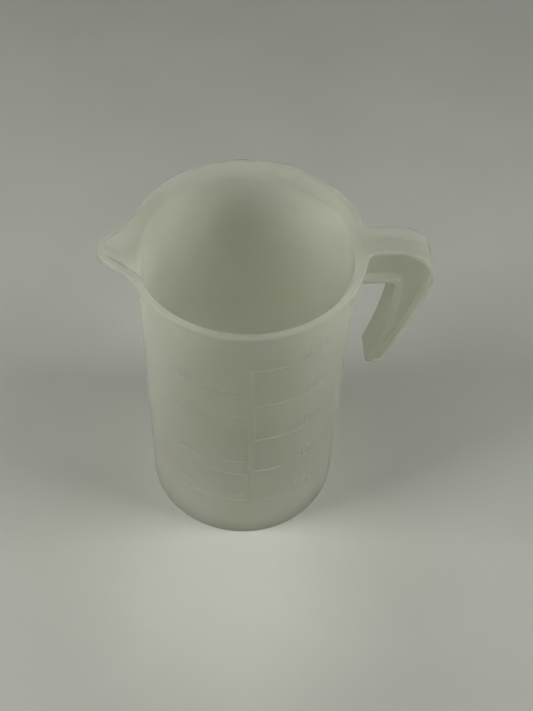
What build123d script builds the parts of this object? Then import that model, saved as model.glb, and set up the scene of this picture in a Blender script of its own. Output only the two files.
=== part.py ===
# Resin mixing cup: a 500 ml jug moulded in one piece, with a pouring spout,
# an open hook handle and raised volume marks. Each moulded feature is its own solid,
# and neighbours meet face to face.
# Millimetres and millilitres. The origin is the centre of the base, +Z is up,
# the handle points along +X, the spout along -X, and the marks face -Y.
from build123d import *
from math import asin, atan2, cos, degrees, radians, sin, sqrt, tan
import os

os.makedirs("parts", exist_ok=True)

# Body
cup_height = 137.0
wall_taper = 1.9
wall_thickness = 1.5
floor_thickness = 1.6
floor_corner_radius = 2.4
foot_height = 1.6
foot_recess = 0.7
foot_width = 2.4
foot_edge_radius = 1.1
gate_radius = 2.5
gate_height = 0.4

# Rim
rim_radius = 43.5
rim_overhang = 3.2
lip_width = 2.4
lip_height = 2.4
lip_outer_edge_radius = 0.8
lip_inner_edge_radius = 0.5
flare_height = 5.0

# Spout
spout_reach = 10.1
spout_depth = 20.5
spout_nose_radius = 7.3
spout_half_angle = 41.0
spout_blend_length = 2.4
spout_sector_angle = 76.0
spout_levels = 6
spout_points = 41

# Handle
handle_width = 13.5
handle_knuckle_radius = 15.3
handle_reach = 25.1
handle_arm_depth = 16.3
handle_leg_reach = 10.7
handle_leg_lean = 14.0
handle_leg_outer_radius = 300.0
handle_leg_inner_radius = 140.0
handle_drop = 65.0
handle_corner_radius = 2.5
handle_end_radius = 2.0
handle_toe_radius = 3.5
handle_edge_radius = 0.5
root_thickness = 1.9
outer_band_thickness = 1.8
arm_band_thickness = 2.1
leg_band_thickness = 3.0
leg_band_end_thickness = 1.0
tip_thickness = 3.0
recess_depth = 3.5
pocket_end_radius = 0.6
parting_line_width = 0.5
parting_line_relief = 0.15

# Volume marks, in millilitres and millimetres
top_mark_drop = 22.9
right_volumes = ("500", "400", "300", "200", "100")
left_volumes = ("440", "370", "230", "190", "125", "105")
long_left_volumes = ("440", "370")
right_mark_length = 28.0
long_left_mark_length = 31.5
short_left_mark_length = 26.7
mark_base_width = 0.9
mark_crest_width = 0.5
mark_relief = 0.35
mark_gap = 0.3
bar_width = 2.4
bar_relief = 0.25
bar_tail = 3.0

# Numbers over the marks
right_number_height = 5.4
left_number_shares = {"440": 0.44, "190": 0.62, "105": 0.96}
number_relief = 0.3
number_stroke = 0.6
number_lift = 0.6
number_width_share = 0.56
number_pitch_share = 0.82

# Directions round the cup, in degrees
front_angle = -90.0
spout_angle = 180.0

# Strokes of the digits, as shares of a digit's width and height:
# two points are a line and three are an arc
stroke_shares = {
    "0": [
        ((0, 0.7), (0.5, 1), (1, 0.7)),
        ((1, 0.7), (1, 0.3)),
        ((1, 0.3), (0.5, 0), (0, 0.3)),
        ((0, 0.3), (0, 0.7)),
    ],
    "1": [((0.1, 0.78), (0.55, 1)), ((0.55, 1), (0.55, 0))],
    "2": [((0, 0.78), (0.55, 1), (0.95, 0.66)), ((0.95, 0.66), (0, 0)), ((0, 0), (1, 0))],
    "3": [((0.06, 0.82), (0.9, 0.77), (0.36, 0.54)), ((0.36, 0.54), (1, 0.28), (0, 0.17))],
    "4": [((0.72, 0), (0.72, 1)), ((0.72, 1), (0, 0.3)), ((0, 0.3), (1, 0.3))],
    "5": [((0.92, 1), (0.14, 1)), ((0.14, 1), (0.08, 0.56)), ((0.08, 0.56), (1, 0.3), (0, 0.12))],
    "9": [
        ((0, 0.7), (0.5, 1), (1, 0.7)),
        ((1, 0.7), (0.5, 0.42), (0, 0.7)),
        ((1, 0.7), (0.84, 0.26), (0.3, 0)),
    ],
}

# Worked out from the sizes above
shoulder_radius = rim_radius - rim_overhang
foot_radius = shoulder_radius - wall_taper
floor_top = foot_recess + floor_thickness
shoulder_height = cup_height - flare_height
lip_bottom = cup_height - lip_height
mouth_radius = rim_radius - lip_width
foot_inner_radius = foot_radius - foot_width
wall_slope = wall_taper / shoulder_height
spout_bottom = cup_height - spout_depth
root_end = shoulder_radius + root_thickness
knuckle_centre = (rim_radius + handle_reach - handle_knuckle_radius, cup_height - handle_knuckle_radius)
leg_inside = rim_radius + handle_leg_reach
handle_bottom = cup_height - handle_drop
tip_top = handle_bottom + tip_thickness
arm_underside = cup_height - handle_arm_depth
bend_top = arm_underside - handle_corner_radius
leg_bow = handle_leg_inner_radius - sqrt(handle_leg_inner_radius**2 - (bend_top - tip_top) ** 2)
recess_bow = leg_bow + leg_band_thickness - leg_band_end_thickness
recess_leg_radius = ((bend_top - tip_top) ** 2 + recess_bow**2) / (2 * recess_bow)
top_mark_height = cup_height - top_mark_drop
full_volume = int(right_volumes[0])
overrun = wall_thickness


def outer_radius(height):
    """Outside radius of the wall at this height."""
    return foot_radius + wall_slope * height


def inner_radius(height):
    """Inside radius of the wall, or of the flare above the shoulder, at this height."""
    if height <= shoulder_height:
        return outer_radius(height) - wall_thickness
    shoulder_inner = shoulder_radius - wall_thickness
    rise_share = (height - shoulder_height) / flare_height
    return shoulder_inner + rise_share * (mouth_radius - shoulder_inner)


def level(volume):
    """Height at which the cup holds this labelled volume, from the height of its top mark."""
    floor_radius = inner_radius(floor_top)

    def mean_square(radius):
        return (floor_radius**2 + floor_radius * radius + radius**2) / 3

    full_depth = top_mark_height - floor_top
    full_measure = full_depth * mean_square(inner_radius(top_mark_height))
    volume_share = int(volume) / full_volume
    depth = full_depth * volume_share
    for _ in range(12):
        depth = volume_share * full_measure / mean_square(inner_radius(floor_top + depth))
    return floor_top + depth


def radial_plane(angle):
    """Upright plane through the axis: x is the radius at this angle and y is the height."""
    a = radians(angle)
    return Plane(origin=(0, 0, 0), x_dir=(cos(a), sin(a), 0), z_dir=(sin(a), -cos(a), 0))


def draw_profile(points):
    """Fills a closed outline of radius and height points in the open sketch."""
    with BuildLine() as outline:
        Polyline(*points, close=True)
    make_face(outline.edges())


def lip_profile():
    """Cross-section of the rim lip, with its top edges rounded."""
    with BuildSketch() as section:
        draw_profile(
            [
                (inner_radius(lip_bottom), lip_bottom),
                (rim_radius, lip_bottom),
                (rim_radius, cup_height),
                (mouth_radius, cup_height),
            ]
        )
        top_corners = section.vertices().group_by(Axis.Y)[-1].sort_by(Axis.X)
        fillet(top_corners[-1], radius=lip_outer_edge_radius)
        inner_corner = section.vertices().group_by(Axis.Y)[-1].sort_by(Axis.X)[0]
        fillet(inner_corner, radius=lip_inner_edge_radius)
    return section.sketch


def flare_profile():
    """Cross-section of the flare between the wall's shoulder and the lip."""
    lip_inner = inner_radius(lip_bottom)
    with BuildSketch() as section:
        draw_profile(
            [
                (shoulder_radius - wall_thickness, shoulder_height),
                (shoulder_radius, shoulder_height),
                (lip_inner + wall_thickness, lip_bottom),
                (lip_inner, lip_bottom),
            ]
        )
    return section.sketch


def envelope_profile():
    """Everything within the outside of the cup, as a filled half section."""
    with BuildSketch() as section:
        draw_profile(
            [
                (0, 0),
                (foot_radius, 0),
                (shoulder_radius, shoulder_height),
                (inner_radius(lip_bottom) + wall_thickness, lip_bottom),
                (mouth_radius + lip_inner_edge_radius, cup_height),
                (mouth_radius + lip_inner_edge_radius, cup_height + overrun),
                (0, cup_height + overrun),
            ]
        )
        add(lip_profile())
    return section.sketch


# Cup wall, open where the spout is set into it
with BuildPart() as cup_wall:
    with BuildSketch(Plane.XZ):
        draw_profile(
            [
                (inner_radius(foot_height), foot_height),
                (outer_radius(foot_height), foot_height),
                (shoulder_radius, shoulder_height),
                (shoulder_radius - wall_thickness, shoulder_height),
            ]
        )
    revolve(axis=Axis.Z)
    with BuildSketch(radial_plane(spout_angle - spout_sector_angle / 2)):
        draw_profile(
            [
                (foot_inner_radius, spout_bottom),
                (rim_radius, spout_bottom),
                (rim_radius, cup_height),
                (foot_inner_radius, cup_height),
            ]
        )
    revolve(axis=Axis.Z, revolution_arc=spout_sector_angle, mode=Mode.SUBTRACT)
cup_wall.part.label = "cup_wall"
export_step(cup_wall.part, "parts/cup_wall.step")

# Foot ring that the cup stands on
with BuildPart() as foot_ring:
    with BuildSketch(Plane.XZ) as foot_section:
        draw_profile(
            [
                (foot_inner_radius, 0),
                (foot_radius, 0),
                (outer_radius(foot_height), foot_height),
                (foot_inner_radius, foot_height),
            ]
        )
        fillet(foot_section.vertices().group_by(Axis.Y)[0].sort_by(Axis.X)[-1], radius=foot_edge_radius)
    revolve(axis=Axis.Z)
foot_ring.part.label = "foot_ring"
export_step(foot_ring.part, "parts/foot_ring.step")

# Floor, raised off the table, with its rounded corner up to the wall
wall_lean = atan2(wall_taper, shoulder_height)
corner_run = floor_corner_radius * tan((radians(90) - wall_lean) / 2)
corner_start = inner_radius(floor_top) - corner_run
corner_top = floor_top + corner_run * cos(wall_lean)
with BuildPart() as cup_floor:
    with BuildSketch(Plane.XZ):
        with BuildLine():
            Polyline(
                (corner_start, floor_top),
                (0, floor_top),
                (0, foot_recess),
                (foot_inner_radius, foot_recess),
                (foot_inner_radius, foot_height),
                (inner_radius(foot_height), foot_height),
                (inner_radius(corner_top), corner_top),
            )
            TangentArc((corner_start, floor_top), (inner_radius(corner_top), corner_top), tangent=(1, 0))
        make_face()
    revolve(axis=Axis.Z)
cup_floor.part.label = "cup_floor"
export_step(cup_floor.part, "parts/cup_floor.step")

# Gate mark, the trimmed stub under the middle of the floor
with BuildPart() as gate_mark:
    with BuildSketch(Plane.XY.offset(foot_recess)):
        Circle(gate_radius)
    extrude(amount=-gate_height)
gate_mark.part.label = "gate_mark"
export_step(gate_mark.part, "parts/gate_mark.step")

# Flare and lip of the rim, which run round from one side of the spout to the other
for name, profile in (("rim_flare", flare_profile()), ("rim_lip", lip_profile())):
    with BuildPart() as rim_ring:
        with BuildSketch(radial_plane(spout_angle + spout_sector_angle / 2)):
            add(profile)
        revolve(axis=Axis.Z, revolution_arc=360 - spout_sector_angle)
    rim_ring.part.label = name
    export_step(rim_ring.part, f"parts/{name}.step")


def outline_radius(angle, circle, vertex, nose):
    """Radius, at this angle from the spout's middle, of a circle with a pulled V.

    The V's straight sides meet at the vertex, its nose is rounded, and a soft blend
    joins its sides to the circle.
    """
    turn = abs(radians(angle))
    nose_centre = vertex - nose / sin(spout_lean)
    nose_turn = atan2(nose * cos(spout_lean), nose_centre + nose * sin(spout_lean))
    if turn < nose_turn:
        beak = nose_centre * cos(turn) + sqrt(nose**2 - (nose_centre * sin(turn)) ** 2)
    else:
        beak = vertex * sin(spout_lean) / sin(turn + spout_lean)
    closeness = max(spout_blend_length - abs(circle - beak), 0)
    return max(circle, beak) + closeness**2 / (4 * spout_blend_length)


def outline_points(circle, vertex, nose):
    """Points of an outline across the spout's sector, from one side to the other."""
    points = []
    for i in range(spout_points):
        angle = spout_sector_angle * (i / (spout_points - 1) - 0.5)
        radius = outline_radius(angle, circle, vertex, nose)
        turn = radians(spout_angle + angle)
        points.append((radius * cos(turn), radius * sin(turn)))
    return points


# The lip's outer outline at the top sets the spout's shape, as its circle, vertex and nose
spout_lean = radians(spout_half_angle)
lip_vertex = rim_radius + spout_reach + spout_nose_radius * (1 / sin(spout_lean) - 1)
lip_outline = (rim_radius, lip_vertex, spout_nose_radius)
mouth_reach = lip_vertex - lip_width / sin(spout_lean) - mouth_radius


def inner_outline(height):
    """Circle, vertex and nose of the spout's inside at this height."""
    circle = inner_radius(height)
    reach = mouth_reach * (height - spout_bottom) / spout_depth
    return circle, circle + reach, spout_nose_radius - lip_width


def wall_outline(height):
    """The same of its outside, a wall's thickness further out."""
    circle, vertex, nose = inner_outline(height)
    return circle + wall_thickness, vertex + wall_thickness / sin(spout_lean), nose + wall_thickness


def spout_strip(height, outer_outline):
    """Section of the spout's sector between its inside and an outer outline."""
    with BuildSketch(Plane.XY.offset(height)) as strip:
        with BuildLine() as edges:
            inner_edge = Spline(*outline_points(*inner_outline(height)))
            outer_edge = Spline(*outline_points(*outer_outline))
            Line(inner_edge @ 0, outer_edge @ 0)
            Line(inner_edge @ 1, outer_edge @ 1)
        make_face(edges.edges())
    return strip.sketch


# Spout, drawn out of the wall from its bottom up to the lip
spout_rise = shoulder_height - spout_bottom
spout_heights = [spout_bottom + spout_rise * i / (spout_levels - 1) for i in range(spout_levels)]
wall_strips = [spout_strip(height, wall_outline(height)) for height in spout_heights]
flare_strips = [spout_strip(height, wall_outline(height)) for height in (shoulder_height, lip_bottom)]
with BuildPart() as pouring_spout:
    loft(wall_strips)
    loft(flare_strips, ruled=True)
pouring_spout.part.label = "pouring_spout"
export_step(pouring_spout.part, "parts/pouring_spout.step")

# Lip round the spout, with the rim lip's rounded top edges
lip_strips = [spout_strip(height, lip_outline) for height in (lip_bottom, cup_height)]
with BuildPart() as spout_lip:
    loft(lip_strips, ruled=True)
    fillet(spout_lip.edges().group_by(Axis.Z)[-1].sort_by(SortBy.LENGTH)[-2], radius=lip_inner_edge_radius)
    fillet(spout_lip.edges().group_by(Axis.Z)[-1].sort_by(SortBy.LENGTH)[-1], radius=lip_outer_edge_radius)
spout_lip.part.label = "spout_lip"
export_step(spout_lip.part, "parts/spout_lip.step")


def handle_side(outer_inset, arm_inset, leg_inset, bend_radius, end_inset, start, end_radius):
    """Side view of the handle, drawn in by insets, with this radius inside its leg."""
    lean = radians(handle_leg_lean)
    bottom = handle_bottom + end_inset
    leg_offset = handle_leg_outer_radius - handle_knuckle_radius
    leg_centre = (knuckle_centre[0] - leg_offset * cos(lean), knuckle_centre[1] + leg_offset * sin(lean))
    leg_radius = handle_leg_outer_radius - outer_inset
    leg_end_angle = degrees(asin((bottom - leg_centre[1]) / leg_radius))
    bend_centre = (leg_inside + leg_inset - bend_radius, bend_top)
    bend_angle = degrees(asin((bend_top - bottom) / bend_radius))
    corner_radius = handle_corner_radius + arm_inset
    corner_centre = (leg_inside + leg_inset - corner_radius, bend_top)
    with BuildSketch() as side:
        with BuildLine():
            arc = CenterArc(knuckle_centre, handle_knuckle_radius - outer_inset, 90, -90 - handle_leg_lean)
            leg = CenterArc(leg_centre, leg_radius, -handle_leg_lean, leg_end_angle + handle_leg_lean)
            bend = CenterArc(bend_centre, bend_radius, -bend_angle, bend_angle)
            Line(leg @ 1, bend @ 0)
            corner = CenterArc(corner_centre, corner_radius, 0, 90)
            arm_start = (start, arm_underside + arm_inset)
            Polyline(corner @ 1, arm_start, (start, cup_height - outer_inset), arc @ 0)
        make_face()
        fillet(side.vertices().group_by(Axis.Y)[0], radius=end_radius)
    return side.sketch


handle_far = knuckle_centre[0] + handle_knuckle_radius + overrun
whole_side = handle_side(0, 0, 0, handle_leg_inner_radius, 0, foot_inner_radius, handle_end_radius)
pocket_side = handle_side(
    outer_band_thickness,
    arm_band_thickness,
    leg_band_thickness,
    recess_leg_radius,
    tip_thickness,
    root_end,
    pocket_end_radius,
)

# The handle's rim, a closed band round the recess on each side, before it is parted
with BuildPart() as handle_rim:
    with BuildSketch(Plane.XZ):
        add(whole_side)
    extrude(amount=handle_width / 2, both=True)
    fillet(handle_rim.faces().filter_by(Axis.Y).edges(), radius=handle_edge_radius)
    with BuildSketch(Plane.YZ) as front_view:
        with Locations((0, handle_bottom)):
            Rectangle(handle_width, handle_drop, align=(Align.CENTER, Align.MIN))
        fillet(front_view.vertices().group_by(Axis.Y)[0], radius=handle_toe_radius)
    extrude(amount=handle_far, mode=Mode.INTERSECT)
    with BuildSketch(Plane.XZ):
        add(pocket_side)
    extrude(amount=handle_width, both=True, mode=Mode.SUBTRACT)
    with BuildSketch(Plane.XZ):
        add(envelope_profile())
    revolve(axis=Axis.Z, mode=Mode.SUBTRACT)

# Regions of the side view that part the rim into its pieces
with BuildSketch() as root_region:
    with Locations((foot_inner_radius, handle_bottom)):
        Rectangle(root_end - foot_inner_radius, lip_bottom - handle_bottom, align=Align.MIN)
with BuildSketch() as tip_region:
    with Locations((root_end, handle_bottom - overrun)):
        Rectangle(handle_far - root_end, tip_top - handle_bottom + overrun, align=Align.MIN)
with BuildSketch() as band_region:
    with Locations((root_end, tip_top)):
        Rectangle(handle_far - root_end, cup_height + overrun - tip_top, align=Align.MIN)

# Root of the handle, under the lip and against the wall
with BuildPart() as handle_root:
    add(handle_rim.part)
    with BuildSketch(Plane.XZ):
        add(root_region.sketch)
    extrude(amount=handle_width, both=True, mode=Mode.INTERSECT)
handle_root.part.label = "handle_root"
export_step(handle_root.part, "parts/handle_root.step")

# Tip that closes the recess at the handle's free end
with BuildPart() as handle_tip:
    add(handle_rim.part)
    with BuildSketch(Plane.XZ):
        add(tip_region.sketch)
    extrude(amount=handle_width, both=True, mode=Mode.INTERSECT)
handle_tip.part.label = "handle_tip"
export_step(handle_tip.part, "parts/handle_tip.step")

# Bands along the outside and the inside of the handle
with BuildPart() as handle_bands:
    add(handle_rim.part)
    with BuildSketch(Plane.XZ):
        add(band_region.sketch)
    extrude(amount=handle_width, both=True, mode=Mode.INTERSECT)
bands = handle_bands.solids().sort_by(Axis.X)
for name, band in (("handle_inner_band", bands[0]), ("handle_outer_band", bands[-1])):
    with BuildPart() as handle_band:
        add(band)
    handle_band.part.label = name
    export_step(handle_band.part, f"parts/{name}.step")

# Web between the bands
with BuildPart() as handle_web:
    with BuildSketch(Plane.XZ):
        add(pocket_side)
    extrude(amount=handle_width / 2 - recess_depth, both=True)
    with BuildSketch(Plane.XZ):
        add(envelope_profile())
    revolve(axis=Axis.Z, mode=Mode.SUBTRACT)
handle_web.part.label = "handle_web"
export_step(handle_web.part, "parts/handle_web.step")

# Fine raised line that the mould's halves leave down the middle of the handle
with BuildPart() as parting_line:
    with BuildSketch(Plane.XZ):
        raised = -parting_line_relief
        add(handle_side(raised, 0, 0, handle_leg_inner_radius, 0, rim_radius, handle_end_radius))
        add(whole_side, mode=Mode.SUBTRACT)
    extrude(amount=parting_line_width / 2, both=True)
parting_line.part.label = "handle_parting_line"
export_step(parting_line.part, "parts/handle_parting_line.step")


def arc_angle(length, height):
    """Angle round the wall's outside that an arc of this length takes at this height."""
    return degrees(length / outer_radius(height))


# Upright bar that divides the two scales
bar_bottom = level(right_volumes[-1]) - bar_tail
bar_top = top_mark_height - mark_base_width / 2
bar_turn = arc_angle(bar_width, top_mark_height)
with BuildPart() as scale_bar:
    with BuildSketch(radial_plane(front_angle - bar_turn / 2)):
        draw_profile(
            [
                (outer_radius(bar_bottom), bar_bottom),
                (outer_radius(bar_bottom) + bar_relief, bar_bottom),
                (outer_radius(bar_top) + bar_relief, bar_top),
                (outer_radius(bar_top), bar_top),
            ]
        )
    revolve(axis=Axis.Z, revolution_arc=bar_turn)
scale_bar.part.label = "scale_bar"
export_step(scale_bar.part, "parts/scale_bar.step")


def mark_span(volume):
    """Start and end of a volume's mark, in degrees from the middle of the bar."""
    height = level(volume)
    bar_side = arc_angle(bar_width / 2 + mark_gap, height)
    if volume == right_volumes[0]:
        return -arc_angle(bar_width / 2, height), bar_side + arc_angle(right_mark_length, height)
    if volume in right_volumes:
        return bar_side, bar_side + arc_angle(right_mark_length, height)
    length = long_left_mark_length if volume in long_left_volumes else short_left_mark_length
    return -bar_side - arc_angle(length, height), -bar_side


# Raised mark at each volume, right and left of the bar
for volume in right_volumes + left_volumes:
    mark_height = level(volume)
    mark_start, mark_end = mark_span(volume)
    crest_radius = outer_radius(mark_height) + mark_relief
    with BuildPart() as mark:
        with BuildSketch(radial_plane(front_angle + mark_start)):
            draw_profile(
                [
                    (outer_radius(mark_height - mark_base_width / 2), mark_height - mark_base_width / 2),
                    (crest_radius, mark_height - mark_crest_width / 2),
                    (crest_radius, mark_height + mark_crest_width / 2),
                    (outer_radius(mark_height + mark_base_width / 2), mark_height + mark_base_width / 2),
                ]
            )
        revolve(axis=Axis.Z, revolution_arc=mark_end - mark_start)
    mark.part.label = f"mark_{volume}"
    export_step(mark.part, f"parts/mark_{volume}.step")


def draw_digit(character, height):
    """Draws one digit in strokes in the open sketch, centred across and standing on y = 0."""
    width = height * number_width_share

    def place(share):
        return ((share[0] - 0.5) * width, share[1] * height)

    with BuildLine() as strokes:
        for stroke in stroke_shares[character]:
            points = [place(share) for share in stroke]
            if len(points) == 2:
                Line(*points)
            else:
                ThreePointArc(*points)
    for edge in strokes.edges():
        trace(edge, line_width=number_stroke)
    ends = [place(share) for stroke in stroke_shares[character] for share in (stroke[0], stroke[-1])]
    with Locations(*ends):
        Circle(number_stroke / 2)


def number_height(volume):
    """Height of a number: on the left, a share of the free height up to the next mark."""
    if volume in right_volumes:
        return right_number_height
    next_volume = (right_volumes[0], *left_volumes)[left_volumes.index(volume)]
    free_height = level(next_volume) - level(volume) - mark_base_width - number_lift - number_stroke
    return left_number_shares[volume] * free_height


# Raised number over each mark that has one
for volume in (*right_volumes, *left_number_shares):
    mark_height = level(volume)
    digit_height = number_height(volume)
    base = mark_height + mark_base_width / 2 + number_lift
    pitch = arc_angle(digit_height * number_pitch_share, base)
    half_digit = arc_angle(digit_height * number_width_share / 2, base)
    mark_start, mark_end = mark_span(volume)
    if volume in right_volumes:
        first_angle = mark_end - half_digit - pitch * (len(volume) - 1)
    else:
        first_angle = mark_start + half_digit
    with BuildPart() as number:
        for i, character in enumerate(volume):
            upright = radial_plane(front_angle + first_angle + i * pitch)
            digit_plane = Plane(
                origin=upright.x_dir * (outer_radius(base) - overrun) + Vector(0, 0, base),
                x_dir=upright.x_dir.rotate(Axis.Z, 90),
                z_dir=upright.x_dir,
            )
            with BuildSketch(digit_plane):
                draw_digit(character, digit_height)
            extrude(amount=2 * overrun + number_relief)
        with BuildSketch(Plane.XZ):
            draw_profile(
                [
                    (foot_radius, 0),
                    (foot_radius + number_relief, 0),
                    (shoulder_radius + number_relief, shoulder_height),
                    (shoulder_radius, shoulder_height),
                ]
            )
        revolve(axis=Axis.Z, mode=Mode.INTERSECT)
    number.part.label = f"number_{volume}"
    export_step(number.part, f"parts/number_{volume}.step")
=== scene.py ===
"""Looks of the resin mixing cup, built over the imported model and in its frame.

The cup is one closed skin, rings of points from the middle of its underside, up the outside,
over the lip and down the inside, with the marks and numbers raised out of it. The handle is
a second skin, joined into the first. Lengths are in millimetres until a mesh is made.
"""

from math import asin, atan2, cos, hypot, pi, radians, sin, sqrt, tan

import bpy
import numpy as np
from mathutils import Matrix, Vector


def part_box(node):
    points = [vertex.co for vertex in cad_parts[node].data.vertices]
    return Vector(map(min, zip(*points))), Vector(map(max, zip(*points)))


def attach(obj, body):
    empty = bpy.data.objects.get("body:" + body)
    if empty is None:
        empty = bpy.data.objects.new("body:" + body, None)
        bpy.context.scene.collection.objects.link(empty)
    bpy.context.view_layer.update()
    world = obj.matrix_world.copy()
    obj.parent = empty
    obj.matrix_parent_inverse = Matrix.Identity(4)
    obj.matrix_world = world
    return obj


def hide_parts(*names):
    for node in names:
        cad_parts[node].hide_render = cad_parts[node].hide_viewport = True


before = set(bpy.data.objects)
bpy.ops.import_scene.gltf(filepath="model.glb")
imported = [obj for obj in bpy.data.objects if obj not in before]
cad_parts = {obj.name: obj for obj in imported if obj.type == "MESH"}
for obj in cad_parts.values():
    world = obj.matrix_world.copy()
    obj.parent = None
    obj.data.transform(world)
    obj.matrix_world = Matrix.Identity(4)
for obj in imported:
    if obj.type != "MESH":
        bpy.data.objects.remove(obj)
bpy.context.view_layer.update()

MM = 0.001
crease_angle = radians(42)
light_target = (0, 0, 0.05)
glow_softness = 0.03

# Edges and corners of the body
wall_thickness = 1.5
lip_width = 2.4
lip_outer_edge_radius = 0.55
lip_inner_edge_radius = 0.35
lip_lower_edge_radius = 0.35
lip_crease_height = 0.05
lip_crease_width = 0.12
flat_margin = 0.06
floor_corner_radius = 2.4
foot_width = 2.4
foot_outer_edge_radius = 1.1
foot_inner_edge_radius = 0.4
shoulder_blend = 1.2
gate_edge = 0.1
centre_radius = 0.01

# Spout
spout_nose_radius = 7.3
spout_lean = radians(41)
spout_blend_length = 2.4
spout_sector_half = radians(38)

# Handle
knuckle_radius = 15.3
leg_lean = radians(14)
leg_outer_radius = 300.0
leg_inner_radius = 140.0
corner_radius = 2.5
end_radius = 2.0
toe_radius = 3.5
handle_edge_radius = 0.6
outer_band_thickness = 1.8
leg_band_thickness = 3.0
leg_band_end_thickness = 1.0
recess_end_radius = 0.6
recess_edge_radius = 0.3
root_blend_radius = 2.6
root_blend_drop = 0.2
root_blend_fade = 0.6
root_run = 7.5
parting_crest_share = 0.6
parting_points = slice(8, 70)
flank_margin = 0.05
web_margin = 0.08

# Marks and numbers
right_volumes = ("500", "400", "300", "200", "100")
left_volumes = ("440", "370", "230", "190", "125", "105")
numbered_volumes = (*right_volumes, "440", "190", "105")
mark_relief = 0.45
bar_relief = 0.25
number_relief = 0.17
number_stroke = 0.6
number_width_share = 0.56
number_pitch_share = 0.82
number_reach = 1.0
relief_edge = 0.2

# Heights between neighbouring rings of points
wall_step = 2.0
shoulder_step = 0.65
spout_step = 0.9
mark_step = 0.1
number_step = 0.33
bar_end_step = 0.15
first_ring_gap = 0.5
inside_step = 4.0
flare_step = 0.7
mark_margin = 0.2
number_margin = 0.3

# Sectors round the cup, as start, end and step in degrees: marks, handle's root, back and spout
sectors = ((-152, -28, 0.45), (-28, 12, 1.0), (12, 142, 2.0), (142, 208, 0.7))

# Strokes of each digit, in shares of its width and height: lines, or arcs through three points
strokes = {
    "0": [
        ((0, 0.7), (0.5, 1), (1, 0.7)),
        ((1, 0.7), (1, 0.3)),
        ((1, 0.3), (0.5, 0), (0, 0.3)),
        ((0, 0.3), (0, 0.7)),
    ],
    "1": [((0.1, 0.78), (0.55, 1)), ((0.55, 1), (0.55, 0))],
    "2": [((0, 0.78), (0.55, 1), (0.95, 0.66)), ((0.95, 0.66), (0, 0)), ((0, 0), (1, 0))],
    "3": [((0.06, 0.82), (0.9, 0.77), (0.36, 0.54)), ((0.36, 0.54), (1, 0.28), (0, 0.17))],
    "4": [((0.72, 0), (0.72, 1)), ((0.72, 1), (0, 0.3)), ((0, 0.3), (1, 0.3))],
    "5": [((0.92, 1), (0.14, 1)), ((0.14, 1), (0.08, 0.56)), ((0.08, 0.56), (1, 0.3), (0, 0.12))],
    "9": [
        ((0, 0.7), (0.5, 1), (1, 0.7)),
        ((1, 0.7), (0.5, 0.42), (0, 0.7)),
        ((1, 0.7), (0.84, 0.26), (0.3, 0)),
    ],
}


def low(node):
    """Lowest corner of a CAD node, in millimetres."""
    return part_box(node)[0] / MM


def high(node):
    """Highest corner of a CAD node, in millimetres."""
    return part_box(node)[1] / MM


# Sizes from the frame
cup_height = high("rim_lip").z
lip_bottom = low("rim_lip").z
rim_radius = high("rim_lip").y
shoulder_height = high("cup_wall").z
shoulder_radius = high("cup_wall").y
foot_radius = high("foot_ring").y
foot_recess = low("cup_floor").z
gate_bottom = low("gate_mark").z
gate_radius = high("gate_mark").y
spout_bottom = low("pouring_spout").z
spout_reach = -low("spout_lip").x - rim_radius
handle_half = high("handle_outer_band").y
web_half = high("handle_web").y
handle_bottom = low("handle_tip").z
recess_bottom = high("handle_tip").z
arm_underside = low("handle_root").z
arm_recess_bottom = high("handle_inner_band").z
recess_start = high("handle_root").x
leg_inside = high("handle_inner_band").x - leg_band_thickness
parting_half = high("handle_parting_line").y
parting_relief = high("handle_parting_line").z - cup_height

# Worked out
mouth_radius = rim_radius - lip_width
wall_taper = shoulder_radius - foot_radius
wall_slope = wall_taper / shoulder_height
wall_lean = atan2(wall_taper, shoulder_height)
floor_corner_run = floor_corner_radius * tan((pi / 2 - wall_lean) / 2)
floor_top = high("cup_floor").z - floor_corner_run * cos(wall_lean)
lip_vertex = rim_radius + spout_reach + spout_nose_radius * (1 / sin(spout_lean) - 1)
mouth_reach = lip_vertex - lip_width / sin(spout_lean) - mouth_radius


def inner_radius(height):
    """Radius of the cup's inside, flared under the rim."""
    flare_run = mouth_radius - shoulder_radius + wall_thickness
    flare_slope = flare_run / (cup_height - shoulder_height)
    above = height - shoulder_height
    straight = shoulder_radius - wall_thickness + wall_slope * above
    blend = np.clip(above + shoulder_blend, 0, 2 * shoulder_blend) ** 2 / (4 * shoulder_blend)
    flare = np.where(above > shoulder_blend, above, blend)
    return straight + (flare_slope - wall_slope) * flare


def spout_outline(turns, circle, vertex, nose):
    """Radius of a circle with a pulled V at each turn from the spout's middle.

    The V's straight sides meet at the vertex, its nose is rounded, and a soft blend
    joins its sides to the circle.
    """
    centre = vertex - nose / sin(spout_lean)
    nose_turn = atan2(nose * cos(spout_lean), centre + nose * sin(spout_lean))
    chord = np.sqrt(np.clip(nose**2 - (centre * np.sin(turns)) ** 2, 0, None))
    tip = centre * np.cos(turns) + chord
    side = vertex * sin(spout_lean) / np.sin(np.minimum(turns, spout_sector_half) + spout_lean)
    beak = np.where(turns < nose_turn, tip, side)
    beak = np.where(turns < spout_sector_half, beak, 0)
    closeness = np.clip(spout_blend_length - np.abs(circle - beak), 0, None)
    return np.maximum(circle, beak) + closeness**2 / (4 * spout_blend_length)


def wall_ring(height, outset):
    """Radius of the inside at each azimuth, or that of a face this far outside it."""
    circle = inner_radius(height)
    if height <= spout_bottom:
        return circle + np.full(len(azimuths), outset)
    reach = mouth_reach * (height - spout_bottom) / (cup_height - spout_bottom)
    vertex = circle + reach + outset / sin(spout_lean)
    nose = spout_nose_radius - lip_width + outset
    return spout_outline(spout_turns, circle + outset, vertex, nose)


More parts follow.
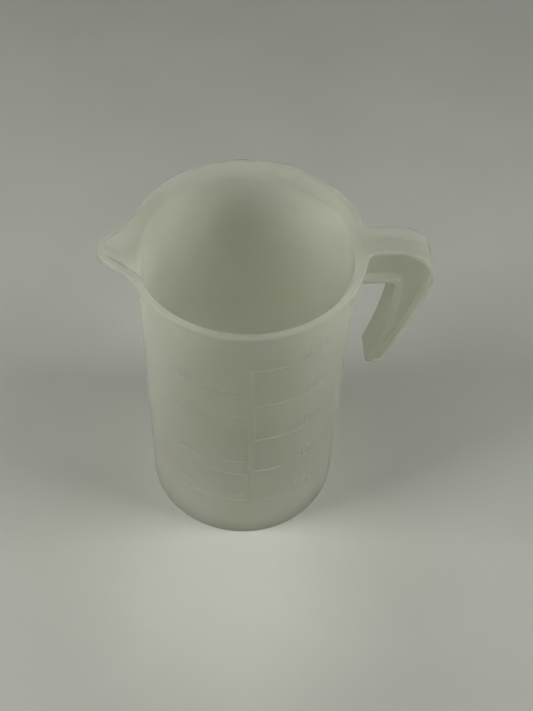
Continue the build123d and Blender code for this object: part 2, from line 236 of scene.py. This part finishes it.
def lip_ring(inset):
    """Radius of the lip's outside at each azimuth, drawn in by an inset."""
    vertex = lip_vertex - inset / sin(spout_lean)
    return spout_outline(spout_turns, rim_radius - inset, vertex, spout_nose_radius - inset)


def steps(start, end, size):
    """Even stations from start up to but not including end, about this far apart."""
    return list(np.linspace(start, end, max(2, round((end - start) / size) + 1))[:-1])


def stations(start, end, coarse, spans):
    """Stations from start up to but not including end, closer in spans of (start, end, step)."""
    places = [start]
    while places[-1] < end:
        here = places[-1]
        step = min([s for a, b, s in spans if a <= here < b] + [coarse])
        places.append(min([here + step, end] + [a for a, b, s in spans if a > here]))
    return places[:-1]


def quarter(start, end, count):
    """Turns of a rounded edge, from one angle in degrees to another."""
    return np.radians(np.linspace(start, end, count))


def arc(centre, radius, start, end, count):
    """Points of an arc between two angles."""
    turns = np.linspace(start, end, count)
    return [(centre[0] + radius * cos(turn), centre[1] + radius * sin(turn)) for turn in turns]


def arc_through(a, b, c, count=12):
    """Points of the arc through three points."""
    (ax, ay), (bx, by), (cx, cy) = a, b, c
    twice = 2 * (ax * (by - cy) + bx * (cy - ay) + cx * (ay - by))
    sa, sb, sc = ax**2 + ay**2, bx**2 + by**2, cx**2 + cy**2
    ox = (sa * (by - cy) + sb * (cy - ay) + sc * (ay - by)) / twice
    oy = (sa * (cx - bx) + sb * (ax - cx) + sc * (bx - ax)) / twice
    start, middle, end = (atan2(y - oy, x - ox) for x, y in (a, b, c))
    sweep = (end - start) % (2 * pi)
    if (middle - start) % (2 * pi) > sweep:
        sweep -= 2 * pi
    return arc((ox, oy), hypot(ax - ox, ay - oy), start, start + sweep, count)


def soft_step(distance, half_width):
    """1 within the half width, easing to 0 across the relief's edge."""
    share = np.clip((half_width + relief_edge / 2 - distance) / relief_edge, 0, 1)
    return share * share * (3 - 2 * share)


def stroke_distance(x, y, points):
    """Distance of each place to a line through points."""
    best = np.full(x.shape, np.inf)
    for (ax, ay), (bx, by) in zip(points, points[1:]):
        dx, dy = bx - ax, by - ay
        share = np.clip(((x - ax) * dx + (y - ay) * dy) / (dx * dx + dy * dy), 0, 1)
        best = np.minimum(best, np.hypot(x - ax - share * dx, y - ay - share * dy))
    return best


def arc_span(node, height):
    """Arc lengths from the middle of the front to a node's two sides, at this height."""
    (x0, y0, _), (x1, y1, _) = low(node), high(node)
    near, far = sorted((abs(x0), abs(x1)))
    radius = foot_radius + wall_slope * height
    far_length = radius * atan2(far, -y1)
    near_length = radius * asin(near / radius)
    if x0 < 0 < x1:
        return -near_length, far_length
    return (near_length, far_length) if x0 > 0 else (-far_length, -near_length)


def add_number(out, s, z, volume):
    """Raises a volume's number over its mark."""
    node, mark = "number_" + volume, "mark_" + volume
    bottom, top = low(node).z, high(node).z
    height = top - bottom - number_stroke
    width, pitch = height * number_width_share, height * number_pitch_share
    start, end = arc_span(mark, bottom)
    first = start + width / 2
    if volume in right_volumes:
        first = end - width / 2 - pitch * (len(volume) - 1)
    near = (z > bottom - number_reach) & (z < top + number_reach)
    near &= (s > first - width) & (s < first + pitch * len(volume))
    for i, digit in enumerate(volume):
        for stroke in strokes[digit]:
            points = [
                (first + i * pitch + (x - 0.5) * width, bottom + number_stroke / 2 + y * height)
                for x, y in stroke
            ]
            points = arc_through(*points) if len(points) == 3 else points
            distance = stroke_distance(s[near], z[near], points)
            raised = number_relief * soft_step(distance, number_stroke / 2)
            out[near] = np.maximum(out[near], raised)


def relief(s, z):
    """How far the bar, marks and numbers stand off the wall at each arc length and height."""
    bar_low, bar_high = low("scale_bar"), high("scale_bar")
    along = soft_step(np.abs(z - (bar_low.z + bar_high.z) / 2), (bar_high.z - bar_low.z) / 2)
    out = bar_relief * soft_step(np.abs(s), bar_high.x) * along
    for volume in right_volumes + left_volumes:
        node = "mark_" + volume
        bottom, top = low(node).z, high(node).z
        start, end = arc_span(node, bottom)
        ridge = np.sqrt(np.clip(1 - ((z - (bottom + top) / 2) / (top - bottom) * 2) ** 2, 0, 1))
        ridge = mark_relief * ridge * soft_step(np.abs(s - (start + end) / 2), (end - start) / 2)
        out = np.maximum(out, ridge)
    for volume in numbered_volumes:
        add_number(out, s, z, volume)
    return out


def add_mesh(name, rings):
    """Makes an object from rings with the same number of points, closed at both ends."""
    count = len(rings[0])
    points = np.concatenate(rings)
    faces = []
    for row in range(len(rings) - 1):
        a, b = row * count, (row + 1) * count
        faces += [(a + i, a + (i + 1) % count, b + (i + 1) % count, b + i) for i in range(count)]
    faces.append(tuple(range(count))[::-1])
    faces.append(tuple(range((len(rings) - 1) * count, len(rings) * count)))
    mesh = bpy.data.meshes.new(name)
    mesh.from_pydata((points * MM).tolist(), [], faces)
    obj = bpy.data.objects.new(name, mesh)
    bpy.context.scene.collection.objects.link(obj)
    return obj


# Azimuths of the cup's points, and their turns from the spout and from the middle of the front
azimuths = np.radians([turn for sector in sectors for turn in steps(*sector)])
spout_turns = np.abs(azimuths - pi)
spout_turns = np.minimum(spout_turns, 2 * pi - spout_turns)
front_turns = azimuths + pi / 2


def underside_rings():
    """Radius and height of each ring from the middle of the underside to the foot's outer edge."""
    foot_inner = foot_radius - foot_width
    rings = [(centre_radius, gate_bottom), (gate_radius * 0.5, gate_bottom)]
    rings += [(gate_radius - gate_edge, gate_bottom), (gate_radius, gate_bottom + gate_edge)]
    rings += [(gate_radius, foot_recess), (gate_radius * 1.2, foot_recess)]
    rings += [(foot_inner * share, foot_recess) for share in (0.3, 0.6, 0.98, 1)]
    for turn in quarter(180, 270, 4):
        edge = foot_inner_edge_radius
        rings.append((foot_inner + edge * (1 + cos(turn)), edge * (1 + sin(turn))))
    for turn in quarter(-90, 0, 7):
        edge = foot_outer_edge_radius
        rings.append((foot_radius - edge * (1 - cos(turn)), edge * (1 + sin(turn))))
    return rings


def outside_rings():
    """Radius and height of each ring up the outside to the lip, marks and numbers included."""
    spans = [(shoulder_height, lip_bottom, shoulder_step)]
    for volume in right_volumes + left_volumes:
        bottom, top = low("mark_" + volume).z, high("mark_" + volume).z
        spans.append((bottom - mark_margin, top + mark_margin, mark_step))
    for volume in numbered_volumes:
        bottom, top = low("number_" + volume).z, high("number_" + volume).z
        spans.append((bottom - number_margin, top + number_margin, number_step))
    bar_end = low("scale_bar").z
    spans.append((bar_end - number_margin, bar_end + number_margin, bar_end_step))
    spans.append((spout_bottom, shoulder_height, spout_step))
    heights = stations(foot_outer_edge_radius + first_ring_gap, lip_bottom, wall_step, spans)
    s = np.stack([front_turns * (foot_radius + wall_slope * height) for height in heights])
    raised = relief(s, np.repeat(np.array(heights)[:, None], len(azimuths), 1))
    return [
        (wall_ring(height, wall_thickness) + raised[row], height)
        for row, height in enumerate(heights)
    ]


def lip_rings():
    """Radius and height of each ring round the lip, from under it to its inner edge."""
    under = wall_ring(lip_bottom, wall_thickness)
    rings = [(under, lip_bottom - lip_crease_height), (under + lip_crease_width, lip_bottom)]
    for turn in quarter(-90, 0, 4):
        edge = lip_lower_edge_radius
        rings.append((lip_ring(edge * (1 - cos(turn))), lip_bottom + edge * (1 + sin(turn))))
    for turn in quarter(0, 90, 6):
        edge = lip_outer_edge_radius
        rings.append((lip_ring(edge * (1 - cos(turn))), cup_height - edge * (1 - sin(turn))))
    rings.append((lip_ring(lip_outer_edge_radius + flat_margin), cup_height))
    rings.append((lip_ring(lip_width - lip_inner_edge_radius - flat_margin), cup_height))
    for turn in quarter(90, 0, 5):
        edge = lip_inner_edge_radius
        inset = lip_width - edge * (1 - cos(turn))
        rings.append((lip_ring(inset), cup_height - edge * (1 - sin(turn))))
    return rings


def inside_rings():
    """Radius and height of each ring down the inside to the middle of its floor."""
    corner_centre = float(inner_radius(floor_top)) - floor_corner_run
    heights = steps(high("cup_floor").z, spout_bottom, inside_step)
    heights += steps(spout_bottom, shoulder_height, spout_step)
    heights += steps(shoulder_height, cup_height - lip_inner_edge_radius, flare_step)
    rings = [(wall_ring(height, 0), height) for height in reversed(heights[1:])]
    for turn in np.linspace(-wall_lean, -pi / 2, 9):
        edge = floor_corner_radius
        rings.append((corner_centre + edge * cos(turn), floor_top + edge * (1 + sin(turn))))
    shares = (0.97, 0.75, 0.5, 0.25, 0.001)
    return rings + [(corner_centre * share, floor_top) for share in shares]


def make_cup():
    """The cup's closed skin."""
    rings = []
    for radius, height in underside_rings() + outside_rings() + lip_rings() + inside_rings():
        x, y = radius * np.cos(azimuths), radius * np.sin(azimuths)
        rings.append(np.stack([x, y, np.full(len(azimuths), height)], -1))
    return add_mesh("cup_moulding", rings)


def rounded(before, corner, after, radius, count=6):
    """Points of a fillet between the lines from before to corner and from corner to after."""
    corner = Vector(corner)
    a, b = (Vector(before) - corner).normalized(), (Vector(after) - corner).normalized()
    half = a.angle(b) / 2
    run = radius / tan(half)
    centre = corner + (a + b).normalized() * (radius / sin(half))
    first, last = corner + a * run - centre, corner + b * run - centre
    start = atan2(first.y, first.x)
    turn = (atan2(last.y, last.x) - start + pi) % (2 * pi) - pi
    return arc(centre, radius, start, start + turn, count)


def handle_side(outer_inset, arm_inset, leg_inset, bend_radius, bottom, start, foot_edge):
    """Side view of the handle, drawn in by insets, as a closed loop of x and z.

    The loop runs out along the top, round the knuckle, down the leg's outside, up its inside
    and back under the arm. Its number of points is the same for any insets.
    """
    top, under = cup_height - outer_inset, arm_underside + arm_inset
    knuckle = (high("handle_outer_band").x - knuckle_radius, cup_height - knuckle_radius)
    offset = leg_outer_radius - knuckle_radius
    leg_centre = (knuckle[0] - offset * cos(leg_lean), knuckle[1] + offset * sin(leg_lean))
    leg_radius = leg_outer_radius - outer_inset
    leg_end = asin((bottom - leg_centre[1]) / leg_radius)
    bend_top = arm_underside - corner_radius
    bend_centre = (leg_inside + leg_inset - bend_radius, bend_top)
    bend_end = -asin((bend_top - bottom) / bend_radius)
    outer_foot = (leg_centre[0] + leg_radius * cos(leg_end), bottom)
    inner_foot = (bend_centre[0] + bend_radius * cos(bend_end), bottom)
    outer_run = foot_edge / tan((pi / 2 - leg_end) / 2)
    inner_run = foot_edge / tan((pi / 2 + bend_end) / 2)
    corner_x = leg_inside + leg_inset - corner_radius - arm_inset

    loop = [(x, top) for x in np.linspace(start, start + root_run, 16)[:-1]]
    loop += [(x, top) for x in np.linspace(start + root_run, knuckle[0], 6)[:-1]]
    loop += arc(knuckle, knuckle_radius - outer_inset, pi / 2, -leg_lean, 30)[:-1]
    loop += arc(leg_centre, leg_radius, -leg_lean, leg_end + outer_run / leg_radius, 24)[:-1]
    loop += rounded(loop[-1], outer_foot, inner_foot, foot_edge)
    inner = arc(bend_centre, bend_radius, bend_end + inner_run / bend_radius, 0, 24)
    loop += rounded(outer_foot, inner_foot, inner[1], foot_edge)
    loop += inner[1:-1]
    loop += arc((corner_x, bend_top), corner_radius + arm_inset, 0, pi / 2, 9)
    loop += [(x, under) for x in np.linspace(corner_x, start, 11)[1:-1]]
    loop += [(start, z) for z in np.linspace(under, top, 13)[:-1]]
    return np.array(loop)


def drawn_in(loop, inset):
    """The clockwise loop moved inwards along its normals."""
    along = np.roll(loop, -1, 0) - np.roll(loop, 1, 0)
    along /= np.linalg.norm(along, axis=1)[:, None]
    return loop + np.reshape(inset, (-1, 1)) * np.stack([along[:, 1], -along[:, 0]], -1)


def rooted(loop, start, y):
    """The loop with its start moved to lie inside the cup's wall, this far off the middle."""
    x, z = loop.T
    reach = np.sqrt((inner_radius(z) + wall_thickness / 2) ** 2 - y**2)
    share = (x - start) / root_run
    moved = reach + share * (start + root_run - reach)
    return np.stack([np.where(share < 1, moved, x), z], -1)


def handle_rings():
    """Side view and distance off the middle of each ring of one half.

    Also gives how many of the rings lie outside the recess.
    """
    start = shoulder_radius - wall_thickness
    outline = handle_side(0, 0, 0, leg_inner_radius, handle_bottom, start, end_radius)
    recess_height = arm_underside - corner_radius - recess_bottom
    leg_bow = leg_inner_radius - sqrt(leg_inner_radius**2 - recess_height**2)
    recess_bow = leg_bow + leg_band_thickness - leg_band_end_thickness
    recess_radius = (recess_height**2 + recess_bow**2) / (2 * recess_bow)
    arm_band_thickness = arm_recess_bottom - arm_underside
    mouth = handle_side(
        outer_band_thickness, arm_band_thickness, leg_band_thickness,
        recess_radius, recess_bottom, recess_start, recess_end_radius,
    )
    # The parting line stands off the top, the knuckle and the back of the leg
    seam = np.zeros(len(outline))
    seam[parting_points] = -parting_relief
    rings = [(rooted(drawn_in(outline, seam), start, 0), parting_half * parting_crest_share)]
    for y in (parting_half, handle_half / 2):
        rings.append((rooted(outline, start, y), y))
    flank_start = handle_half - handle_edge_radius - flank_margin
    rings.append((rooted(outline, start, handle_half), flank_start))
    for turn in quarter(0, 90, 5):
        ring = rooted(drawn_in(outline, handle_edge_radius * (1 - cos(turn))), start, handle_half)
        rings.append((ring, handle_half - handle_edge_radius * (1 - sin(turn))))
    edge, brim = rings[-1][0], drawn_in(mouth, -recess_edge_radius)
    for share in (0.05, 0.2, 0.35, 0.5, 0.65, 0.8, 0.95):
        rings.append((edge + (brim - edge) * share, handle_half))
    outside = len(rings)
    for turn in quarter(0, 90, 4):
        ring = drawn_in(mouth, -recess_edge_radius * (1 - sin(turn)))
        rings.append((ring, handle_half - recess_edge_radius * (1 - cos(turn))))
    rings.append((mouth, (handle_half + web_half) / 2))
    for turn in quarter(0, 90, 4):
        ring = drawn_in(mouth, recess_edge_radius * (1 - cos(turn)))
        rings.append((ring, web_half + recess_edge_radius * (1 - sin(turn))))
    rings.append((drawn_in(mouth, recess_edge_radius + web_margin), web_half))
    return rings, outside


def make_handle():
    """The handle's closed skin, from one side's recess across the middle to the other's."""
    rings, outside = handle_rings()
    blend_end = sqrt((rim_radius + root_blend_radius) ** 2 - (handle_half + root_blend_radius) ** 2)
    blend_run = blend_end * root_blend_radius / (rim_radius + root_blend_radius)
    skin = []
    for side in (-1, 1):
        for row, (loop, y) in list(enumerate(rings))[::side]:
            x, z = loop.T
            # Rounded toe
            below = np.clip(handle_bottom + toe_radius - z, 0, toe_radius)
            width = y * (handle_half - toe_radius + np.sqrt(toe_radius**2 - below**2)) / handle_half
            # Hollow blend of the arm's sides into the rim
            if row < outside:
                near = np.clip(blend_end - x, 0, blend_run)
                flare = root_blend_radius - np.sqrt(root_blend_radius**2 - near**2)
                rise = np.clip((z - lip_bottom + root_blend_drop) / root_blend_fade, 0, 1)
                width = width + flare * rise * y / handle_half
            skin.append(np.stack([x, side * width, z], -1))
    return add_mesh("handle_body", skin)


def join(cup, handle):
    """Joins the handle into the cup as one closed skin with smooth faces and sharp creases."""
    union = cup.modifiers.new("handle", "BOOLEAN")
    union.operation = "UNION"
    union.solver = "EXACT"
    union.object = handle
    mesh = bpy.data.meshes.new_from_object(cup.evaluated_get(bpy.context.evaluated_depsgraph_get()))
    cup.modifiers.clear()
    cup.data = mesh
    mesh.polygons.foreach_set("use_smooth", [True] * len(mesh.polygons))
    mesh.set_sharp_from_angle(angle=crease_angle)
    bpy.data.objects.remove(handle)


def add_node(tree, kind, **inputs):
    """Adds a node and sets its inputs, named with underscores for spaces."""
    node = tree.nodes.new(kind)
    for name, value in inputs.items():
        node.inputs[name.replace("_", " ")].default_value = value
    return node


def new_material(name, dark, light, cloud_scale):
    """A material whose colour drifts between two tones, with its tree, shader and coordinates."""
    material = bpy.data.materials.new(name)
    material.use_nodes = True
    tree = material.node_tree
    shader = tree.nodes["Principled BSDF"]
    place = add_node(tree, "ShaderNodeTexCoord").outputs["Object"]
    cloud = add_node(tree, "ShaderNodeTexNoise", Scale=cloud_scale, Detail=3.0)
    ramp = add_node(tree, "ShaderNodeValToRGB")
    ramp.color_ramp.elements[0].position = 0.35
    ramp.color_ramp.elements[0].color = (*dark, 1)
    ramp.color_ramp.elements[1].position = 0.65
    ramp.color_ramp.elements[1].color = (*light, 1)
    tree.links.new(place, cloud.inputs["Vector"])
    tree.links.new(cloud.outputs["Fac"], ramp.inputs["Fac"])
    tree.links.new(ramp.outputs["Color"], shader.inputs["Base Color"])
    return material, tree, shader, place


def add_grain(tree, shader, place, scale, strength, depth):
    """Fine bumps over the whole surface."""
    grain = add_node(tree, "ShaderNodeTexNoise", Scale=scale, Detail=2.0)
    bump = add_node(tree, "ShaderNodeBump", Strength=strength, Distance=depth)
    tree.links.new(place, grain.inputs["Vector"])
    tree.links.new(grain.outputs["Fac"], bump.inputs["Height"])
    tree.links.new(bump.outputs["Normal"], shader.inputs["Normal"])


def milky_plastic():
    """Natural polypropylene: most light passes and is scattered, and a soft gloss lies on edges."""
    dark, light = (0.70, 0.706, 0.62), (0.74, 0.746, 0.665)
    material, tree, shader, place = new_material("milky_plastic", dark, light, 38)
    shader.inputs["Roughness"].default_value = 0.75
    shader.inputs["IOR"].default_value = 1.35
    shader.inputs["Transmission Weight"].default_value = 0.8
    shader.inputs["Subsurface Weight"].default_value = 1.0
    shader.inputs["Subsurface Radius"].default_value = (1.0, 1.0, 0.85)
    shader.inputs["Subsurface Scale"].default_value = 0.004
    shader.inputs["Coat Weight"].default_value = 0.2
    shader.inputs["Coat Roughness"].default_value = 0.3
    add_grain(tree, shader, place, 900, 0.08, 0.0002)
    return material


def bench_paper():
    """Plain grey paper."""
    dark, light = (0.40, 0.41, 0.362), (0.42, 0.43, 0.382)
    material, tree, shader, place = new_material("bench_paper", dark, light, 14)
    shader.inputs["Roughness"].default_value = 0.8
    shader.inputs["Specular IOR Level"].default_value = 0.2
    add_grain(tree, shader, place, 700, 0.1, 0.0003)
    return material


def add_bench(reach):
    """A flat square bench under the cup. Its reach is in metres."""
    mesh = bpy.data.meshes.new("bench")
    corners = [(-reach, -reach, 0), (reach, -reach, 0), (reach, reach, 0), (-reach, reach, 0)]
    mesh.from_pydata(corners, [], [(0, 1, 2, 3)])
    mesh.materials.append(bench_paper())
    bench = bpy.data.objects.new("bench", mesh)
    bpy.context.scene.collection.objects.link(bench)


def aim(obj, location, target):
    """Places an object and turns its -Z axis to a target."""
    obj.location = location
    obj.rotation_euler = (Vector(target) - Vector(location)).to_track_quat("-Z", "Y").to_euler()
    bpy.context.scene.collection.objects.link(obj)


def add_soft_box(name, location, size, power):
    """A rectangular light aimed at the cup. Its place and size are in metres."""
    data = bpy.data.lights.new(name, "AREA")
    data.shape = "RECTANGLE"
    data.size, data.size_y = size
    data.energy = power
    aim(bpy.data.objects.new(name, data), location, light_target)


def add_glow(name, location, target, cone, power):
    """A round pool of soft light. Its place is in metres and its cone in degrees."""
    data = bpy.data.lights.new(name, "SPOT")
    data.spot_size = radians(cone)
    data.spot_blend = 1.0
    data.shadow_soft_size = glow_softness
    data.energy = power
    aim(bpy.data.objects.new(name, data), location, target)


def add_camera():
    """The photograph's view, its place and axes in the frame of the cup."""
    camera = bpy.data.objects.new("camera", bpy.data.cameras.new("camera"))
    camera.data.lens = 65.82
    camera.data.clip_start = 0.01
    right = Vector((0.99727, -0.06857, 0.02747))
    up = Vector((0.03751, 0.79040, 0.61144))
    back = Vector((-0.06364, -0.60874, 0.79082))
    turn = Matrix((right, up, back)).transposed().to_4x4()
    camera.matrix_world = Matrix.Translation((-0.02416, -0.31394, 0.47937)) @ turn
    bpy.context.scene.collection.objects.link(camera)
    bpy.context.scene.camera = camera


def set_room(strength, shown):
    """A faint even light from all round, which looks brighter where the room itself is seen."""
    world = bpy.data.worlds.new("room")
    world.use_nodes = True
    tree = world.node_tree
    path = tree.nodes.new("ShaderNodeLightPath")
    choice = tree.nodes.new("ShaderNodeMix")
    choice.inputs["A"].default_value = strength
    choice.inputs["B"].default_value = shown
    background = tree.nodes["Background"]
    background.inputs["Color"].default_value = (1, 1, 0.97, 1)
    seen = path.outputs["Is Camera Ray"]
    for kind in ("Is Glossy Ray", "Is Transmission Ray"):
        either = tree.nodes.new("ShaderNodeMath")
        either.operation = "MAXIMUM"
        tree.links.new(seen, either.inputs[0])
        tree.links.new(path.outputs[kind], either.inputs[1])
        seen = either.outputs["Value"]
    tree.links.new(seen, choice.inputs["Factor"])
    tree.links.new(choice.outputs["Result"], background.inputs["Strength"])
    bpy.context.scene.world = world


cup = make_cup()
join(cup, make_handle())
cup.data.materials.append(milky_plastic())
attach(cup, "root")
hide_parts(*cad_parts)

add_bench(reach=0.6)
add_soft_box("left_box", (-0.57, -0.13, 0.42), (0.32, 0.3), 3.85)
add_soft_box("right_box", (0.55, -0.16, 0.41), (0.3, 0.3), 3.2)
add_soft_box("back_box", (0, 0.5, 0.6), (0.6, 0.4), 0.45)
add_glow("front_glow", (-0.02, -0.38, 0.6), (-0.006, -0.065, 0), 11, 4.9)
add_glow("low_glow", (-0.05, -0.5, 0.1), (-0.008, -0.04, 0.008), 12, 1.2)
set_room(0.02, 0.3)
add_camera()
bpy.context.scene.view_settings.view_transform = "Standard"
